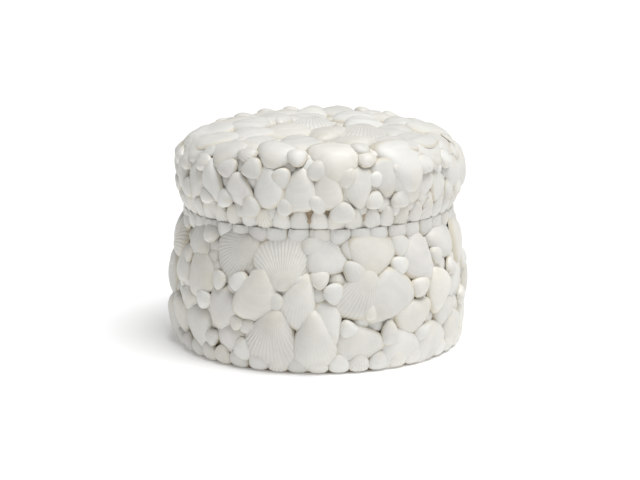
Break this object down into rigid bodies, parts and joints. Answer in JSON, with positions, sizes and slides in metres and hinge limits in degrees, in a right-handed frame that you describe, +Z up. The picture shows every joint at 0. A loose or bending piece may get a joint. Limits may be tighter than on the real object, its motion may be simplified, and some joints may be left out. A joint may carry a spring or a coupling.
{
  "type": "shell box",
  "caption": "Round wooden box with a lift-off lid, its sides and top covered with glued ivory sea shells, for keeping small things.",
  "frame": {"origin": "centre of the base board's underside", "axes": "+Z up along the box's axis, -Y towards the front"},
  "size_m": [0.2459, 0.247, 0.1807],
  "materials": {
    "board_wood": "bare board edge, matte",
    "box_wood": "plain wood, matte",
    "ivory_shell": "natural sea shell, ivory to cream, satin"
  },
  "bodies": {
    "root": {"base_board": "board_wood", "box_body": "box_wood", "body_shells": "ivory_shell", "lid": "box_wood", "lid_shells": "ivory_shell"}
  },
  "joints": []
}
